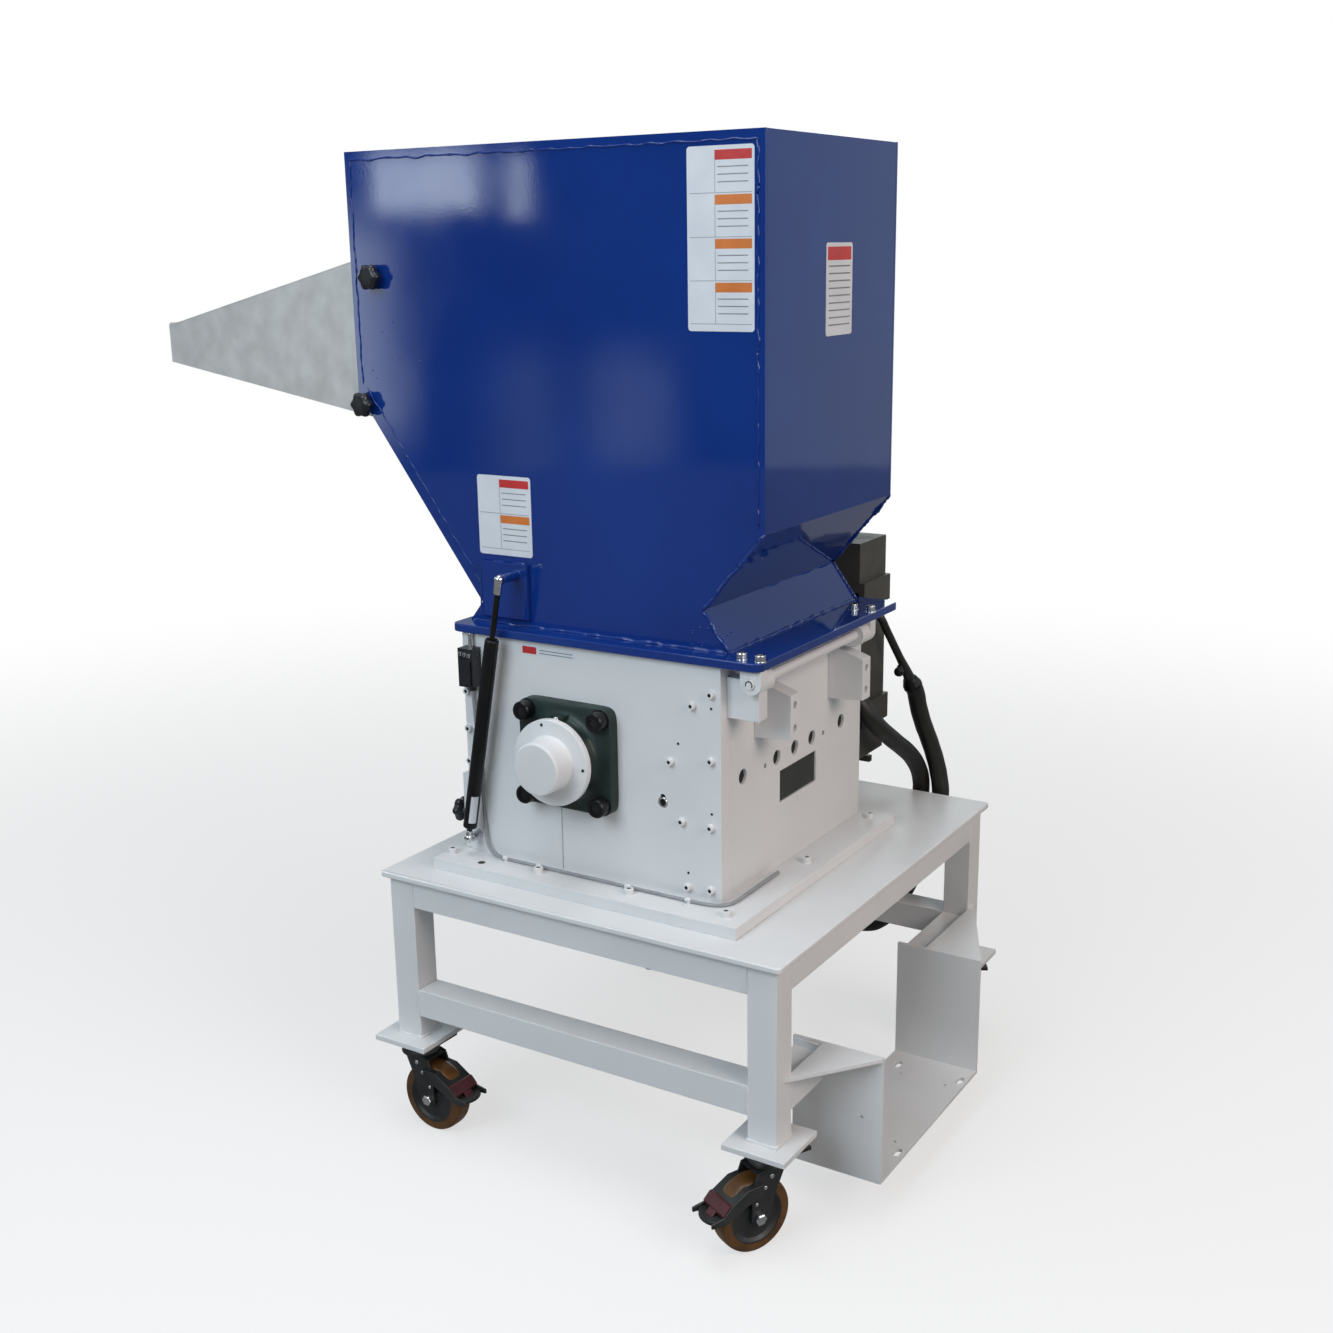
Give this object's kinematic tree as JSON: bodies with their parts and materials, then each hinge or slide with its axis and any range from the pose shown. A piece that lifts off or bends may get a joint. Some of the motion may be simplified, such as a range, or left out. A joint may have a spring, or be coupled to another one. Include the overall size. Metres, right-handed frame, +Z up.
{
  "type": "plastic granulator",
  "caption": "Wheeled plastic granulator: blue tilting hopper with stainless feed tray over a white cutting chamber on a welded table with swivel casters.",
  "frame": {"origin": "on the floor, below the middle of the part's bounding box", "axes": "+X along the rotor towards the bearing side, +Y to the hopper's rear hinge, +Z up"},
  "size_m": [0.977, 1.444, 1.6653],
  "materials": {
    "white_paint": "satin off-white paint",
    "blue_paint": "gloss royal blue paint",
    "stainless": "brushed stainless sheet",
    "tool_steel": "ground tool steel",
    "dark_steel": "dark zinc",
    "green_iron": "dark green cast iron",
    "gear_paint": "olive-grey paint",
    "bright_steel": "bright zinc plate",
    "black_steel": "black oxide",
    "black_plastic": "black moulded plastic",
    "grey_plastic": "grey moulded plastic",
    "tread": "amber polyurethane tread",
    "pedal_red": "maroon and black moulded pedal",
    "hose": "black hose",
    "lead": "grey cable"
  },
  "bodies": {
    "root": {"table_top": "white_paint", "table_legs": "white_paint", "upper_rails": "white_paint", "lower_rails": "white_paint", "blower_bracket": "white_paint", "caster_plates": "dark_steel", "base_plate": "white_paint", "near_wall": "white_paint", "far_wall": "white_paint", "rear_wall": "white_paint", "front_wall": "white_paint", "door_pin": "bright_steel", "bed_knives": "tool_steel", "screen": "dark_steel", "screen_cradle": "dark_steel", "bearing_housings": "green_iron", "bearing_bolts": "black_steel", "bearing_cap": "white_paint", "wall_screws": "white_paint", "lifting_lugs": "white_paint", "hinge_blocks": "white_paint", "hinge_pin": "white_paint", "limit_switch": "black_plastic", "signal_lead": "lead", "gas_foot": "bright_steel", "gear_unit": "gear_paint", "motor": "gear_paint", "terminal_box": "grey_plastic", "conduits": "hose", "sensor_cable": "hose", "junction_box": "grey_plastic"},
    "hopper": {"hopper_sides": "blue_paint", "hopper_sheet": "blue_paint", "hopper_flange": "blue_paint", "hinge_knuckles": "white_paint", "hinge_bolts": "bright_steel", "gas_bracket": "blue_paint", "feed_tray": "stainless"},
    "rotor_assembly": {"rotor_shaft": "tool_steel", "rotor": "dark_steel", "rotor_knives": "tool_steel"},
    "gas_cylinder": {"gas_cylinder": "black_steel"},
    "gas_rod": {"gas_rod": "bright_steel"},
    "screen_door": {"screen_door": "white_paint"},
    "door_knob": {"door_knob": "black_plastic"},
    "switch_plunger": {"switch_plunger": "bright_steel"},
    "knob_upper_near": {"knob_upper_near": "black_plastic"},
    "knob_lower_near": {"knob_lower_near": "black_plastic"},
    "knob_upper_far": {"knob_upper_far": "black_plastic"},
    "knob_lower_far": {"knob_lower_far": "black_plastic"},
    "fork_front_near": {"fork_front_near": "dark_steel"},
    "wheel_front_near": {"wheel_front_near": "tread"},
    "pedal_front_near": {"pedal_front_near": "pedal_red"},
    "fork_rear_near": {"fork_rear_near": "dark_steel"},
    "wheel_rear_near": {"wheel_rear_near": "tread"},
    "pedal_rear_near": {"pedal_rear_near": "pedal_red"},
    "fork_front_far": {"fork_front_far": "dark_steel"},
    "wheel_front_far": {"wheel_front_far": "tread"},
    "fork_rear_far": {"fork_rear_far": "dark_steel"},
    "wheel_rear_far": {"wheel_rear_far": "tread"}
  },
  "joints": [
    {"name": "hopper_tilt", "type": "hinge", "parent": "root", "child": "hopper", "pos_m": [0.0275, 0.513, 0.87], "axis": [-1, 0, 0], "range_deg": [0, 40]},
    {"name": "gas_spring_swing", "type": "hinge", "parent": "root", "child": "gas_cylinder", "pos_m": [0.3055, -0.022, 0.533], "axis": [-1, 0, 0], "range_deg": [0, 9.94]},
    {"name": "gas_spring_slide", "type": "slide", "parent": "gas_cylinder", "child": "gas_rod", "axis": [0, 0.1882, 0.9821], "range_m": [0, 0.30286]},
    {"name": "rotor_spin", "type": "hinge", "parent": "root", "child": "rotor_assembly", "pos_m": [0.0275, 0.18, 0.7096], "axis": [1, 0, 0], "continuous": true},
    {"name": "door_swing", "type": "hinge", "parent": "root", "child": "screen_door", "pos_m": [-0.2305, -0.047, 0.57], "axis": [0, 0, -1], "range_deg": [0, 100]},
    {"name": "door_knob_turn", "type": "hinge", "parent": "screen_door", "child": "door_knob", "pos_m": [0.2635, -0.057, 0.566], "axis": [0, -1, 0], "continuous": true},
    {"name": "switch_press", "type": "slide", "parent": "root", "child": "switch_plunger", "axis": [0, 0, -1], "range_m": [0, 0.003], "stiffness_N_per_m": 600},
    {"name": "knob_upper_near_turn", "type": "hinge", "parent": "hopper", "child": "knob_upper_near", "pos_m": [0.2625, -0.209, 1.4663], "axis": [1, 0, 0], "continuous": true},
    {"name": "knob_lower_near_turn", "type": "hinge", "parent": "hopper", "child": "knob_lower_near", "pos_m": [0.2625, -0.242, 1.2573], "axis": [1, 0, 0], "continuous": true},
    {"name": "knob_upper_far_turn", "type": "hinge", "parent": "hopper", "child": "knob_upper_far", "pos_m": [-0.2075, -0.209, 1.4663], "axis": [-1, 0, 0], "continuous": true},
    {"name": "knob_lower_far_turn", "type": "hinge", "parent": "hopper", "child": "knob_lower_far", "pos_m": [-0.2075, -0.242, 1.2573], "axis": [-1, 0, 0], "continuous": true},
    {"name": "swivel_front_near", "type": "hinge", "parent": "root", "child": "fork_front_near", "pos_m": [0.3635, -0.107, 0.15], "axis": [0, 0, 1], "continuous": true},
    {"name": "roll_front_near", "type": "hinge", "parent": "fork_front_near", "child": "wheel_front_near", "pos_m": [0.36472, -0.07202, 0.0625], "axis": [-0.9994, 0.0349, 0], "continuous": true},
    {"name": "brake_front_near", "type": "hinge", "parent": "fork_front_near", "child": "pedal_front_near", "pos_m": [0.36476, -0.07102, 0.1125], "axis": [-0.9994, 0.0349, 0], "range_deg": [0, 8]},
    {"name": "swivel_rear_near", "type": "hinge", "parent": "root", "child": "fork_rear_near", "pos_m": [0.3635, 0.593, 0.15], "axis": [0, 0, 1], "continuous": true},
    {"name": "roll_rear_near", "type": "hinge", "parent": "fork_rear_near", "child": "wheel_rear_near", "pos_m": [0.39469, 0.57711, 0.0625], "axis": [0.454, 0.891, 0], "continuous": true},
    {"name": "brake_rear_near", "type": "hinge", "parent": "fork_rear_near", "child": "pedal_rear_near", "pos_m": [0.39558, 0.57666, 0.1125], "axis": [0.454, 0.891, 0], "range_deg": [0, 8]},
    {"name": "swivel_front_far", "type": "hinge", "parent": "root", "child": "fork_front_far", "pos_m": [-0.4055, -0.107, 0.15], "axis": [0, 0, 1], "continuous": true},
    {"name": "roll_front_far", "type": "hinge", "parent": "fork_front_far", "child": "wheel_front_far", "pos_m": [-0.37519, -0.0895, 0.0625], "axis": [-0.5, 0.866, 0], "continuous": true},
    {"name": "swivel_rear_far", "type": "hinge", "parent": "root", "child": "fork_rear_far", "pos_m": [-0.4055, 0.593, 0.15], "axis": [0, 0, 1], "continuous": true},
    {"name": "roll_rear_far", "type": "hinge", "parent": "fork_rear_far", "child": "wheel_rear_far", "pos_m": [-0.388, 0.56269, 0.0625], "axis": [0.866, 0.5, 0], "continuous": true}
  ],
  "couplings": [
    {"joint": "gas_spring_swing", "follows": "hopper_tilt", "ratio": 0.24613},
    {"joint": "gas_spring_slide", "follows": "hopper_tilt", "m_per_rad": 0.42953}
  ]
}
